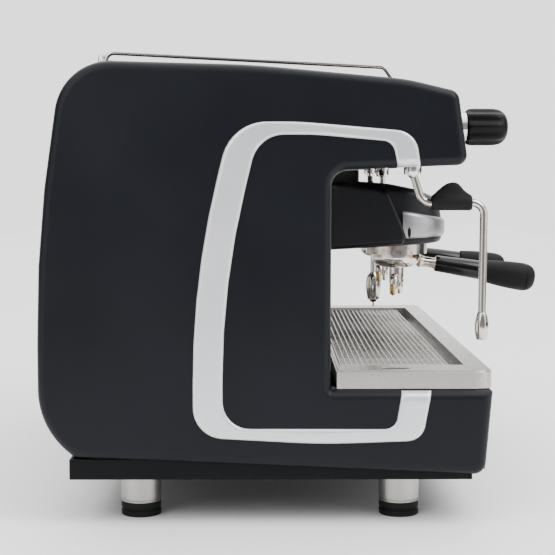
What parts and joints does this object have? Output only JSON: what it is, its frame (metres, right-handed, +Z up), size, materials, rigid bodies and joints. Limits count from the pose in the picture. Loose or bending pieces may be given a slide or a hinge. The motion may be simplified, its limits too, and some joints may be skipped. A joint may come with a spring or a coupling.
{
  "type": "espresso machine",
  "caption": "Free-standing two-group espresso machine with filter holders, swivelling steam wands, hot water outlet, drip tray and cup rails.",
  "frame": {"origin": "on the counter, below the middle of the overall box", "axes": "+Z up, front towards -Y, +X to the right seen from the front"},
  "size_m": [0.793, 0.6035, 0.528],
  "materials": {
    "black_paint": "fine satin black with a blue cast",
    "silver_trim": "satin silver paint",
    "stainless": "brushed",
    "chrome": "polished",
    "black_plastic": "fine moulded grain",
    "gloss_black": "gloss",
    "soft_grip": "matt soft-touch",
    "rubber": "matt",
    "copper": "bare copper",
    "brass": "machined"
  },
  "bodies": {
    "machine": {"base_frame": "black_paint", "left_side_panel": "black_paint", "right_side_panel": "black_paint", "left_side_trim": "silver_trim", "right_side_trim": "silver_trim", "rear_cover": "black_paint", "cup_tray": "stainless", "cup_rails": "stainless", "front_fascia": "black_paint", "splash_back": "stainless", "lower_front_panel": "black_paint", "foot_sleeves": "stainless", "foot_pads": "rubber", "boiler_shell": "copper", "heating_element": "stainless", "safety_valve": "brass", "pump_motor": "black_plastic", "rotary_pump": "brass", "control_box": "black_plastic", "drain_cup": "black_plastic", "water_pipes": "copper", "group_covers": "black_plastic", "group_bands": "silver_trim", "left_group_head": "chrome", "right_group_head": "chrome", "group_gaskets": "rubber", "shower_screens": "stainless", "steam_valves": "brass", "control_panel": "gloss_black"},
    "drip_tray": {"drip_tray": "stainless"},
    "drip_grid": {"drip_grid": "stainless"},
    "hot_water_spout": {"hot_water_spout": "chrome"},
    "main_switch": {"main_switch": "black_plastic"},
    "left_filter_holder": {"left_filter_holder": "chrome", "left_filter_basket": "stainless", "left_pour_spout": "chrome", "left_handle_sleeve": "gloss_black", "left_handle_grip": "soft_grip"},
    "left_steam_knob": {"left_steam_knob": "black_plastic"},
    "left_wand_swivel": {"left_wand_collar": "chrome"},
    "left_wand": {"left_steam_wand": "stainless", "left_wand_grip": "rubber", "left_wand_nozzle": "stainless"},
    "left_brew_button_1": {"left_brew_button_1": "silver_trim"},
    "left_brew_button_2": {"left_brew_button_2": "silver_trim"},
    "left_brew_button_3": {"left_brew_button_3": "silver_trim"},
    "right_filter_holder": {"right_filter_holder": "chrome", "right_filter_basket": "stainless", "right_pour_spout": "chrome", "right_handle_sleeve": "gloss_black", "right_handle_grip": "soft_grip"},
    "right_steam_knob": {"right_steam_knob": "black_plastic"},
    "right_wand_swivel": {"right_wand_collar": "chrome"},
    "right_wand": {"right_steam_wand": "stainless", "right_wand_grip": "rubber", "right_wand_nozzle": "stainless", "temperature_probe": "rubber"},
    "right_brew_button_1": {"right_brew_button_1": "silver_trim"},
    "right_brew_button_2": {"right_brew_button_2": "silver_trim"},
    "right_brew_button_3": {"right_brew_button_3": "silver_trim"}
  },
  "joints": [
    {"name": "drip_tray_slide", "type": "slide", "parent": "machine", "child": "drip_tray", "axis": [0, -1, 0], "range_m": [0, 0.12]},
    {"name": "drip_grid_lift", "type": "slide", "parent": "drip_tray", "child": "drip_grid", "axis": [0, 0, 1], "range_m": [0, 0.012]},
    {"name": "left_holder_turn", "type": "hinge", "parent": "machine", "child": "left_filter_holder", "pos_m": [-0.115, -0.121, 0.29], "axis": [0, 0, 1], "range_deg": [-45, 0]},
    {"name": "left_knob_turn", "type": "hinge", "parent": "machine", "child": "left_steam_knob", "pos_m": [-0.3, -0.186, 0.446], "axis": [0, -1, 0], "range_deg": [0, 270]},
    {"name": "left_wand_turn", "type": "hinge", "parent": "machine", "child": "left_wand_swivel", "pos_m": [-0.33, -0.119, 0.393], "axis": [0, 0, 1], "range_deg": [-60, 90]},
    {"name": "left_wand_tilt", "type": "hinge", "parent": "left_wand_swivel", "child": "left_wand", "pos_m": [-0.33, -0.119, 0.393], "axis": [1, 0, 0], "range_deg": [-20, 10]},
    {"name": "right_holder_turn", "type": "hinge", "parent": "machine", "child": "right_filter_holder", "pos_m": [0.115, -0.121, 0.29], "axis": [0, 0, 1], "range_deg": [-45, 0]},
    {"name": "right_knob_turn", "type": "hinge", "parent": "machine", "child": "right_steam_knob", "pos_m": [0.3, -0.186, 0.446], "axis": [0, -1, 0], "range_deg": [0, 270]},
    {"name": "right_wand_turn", "type": "hinge", "parent": "machine", "child": "right_wand_swivel", "pos_m": [0.33, -0.119, 0.393], "axis": [0, 0, 1], "range_deg": [-20, 120]},
    {"name": "right_wand_tilt", "type": "hinge", "parent": "right_wand_swivel", "child": "right_wand", "pos_m": [0.33, -0.119, 0.393], "axis": [0, -1, 0], "range_deg": [-20, 10]},
    {"name": "hot_water_turn", "type": "hinge", "parent": "machine", "child": "hot_water_spout", "pos_m": [0, -0.112, 0.395], "axis": [0, 0, 1], "range_deg": [-45, 45]},
    {"name": "main_switch_turn", "type": "hinge", "parent": "machine", "child": "main_switch", "pos_m": [0.285, -0.201, 0.108], "axis": [0, -1, 0], "range_deg": [0, 90]},
    {"name": "left_button_1_press", "type": "slide", "parent": "machine", "child": "left_brew_button_1", "axis": [0, 0.9898, -0.1423], "range_m": [0, 0.0015], "stiffness_N_per_m": 600},
    {"name": "left_button_2_press", "type": "slide", "parent": "machine", "child": "left_brew_button_2", "axis": [0, 0.9898, -0.1423], "range_m": [0, 0.0015], "stiffness_N_per_m": 600},
    {"name": "left_button_3_press", "type": "slide", "parent": "machine", "child": "left_brew_button_3", "axis": [0, 0.9898, -0.1423], "range_m": [0, 0.0015], "stiffness_N_per_m": 600},
    {"name": "right_button_1_press", "type": "slide", "parent": "machine", "child": "right_brew_button_1", "axis": [0, 0.9898, -0.1423], "range_m": [0, 0.0015], "stiffness_N_per_m": 600},
    {"name": "right_button_2_press", "type": "slide", "parent": "machine", "child": "right_brew_button_2", "axis": [0, 0.9898, -0.1423], "range_m": [0, 0.0015], "stiffness_N_per_m": 600},
    {"name": "right_button_3_press", "type": "slide", "parent": "machine", "child": "right_brew_button_3", "axis": [0, 0.9898, -0.1423], "range_m": [0, 0.0015], "stiffness_N_per_m": 600}
  ]
}
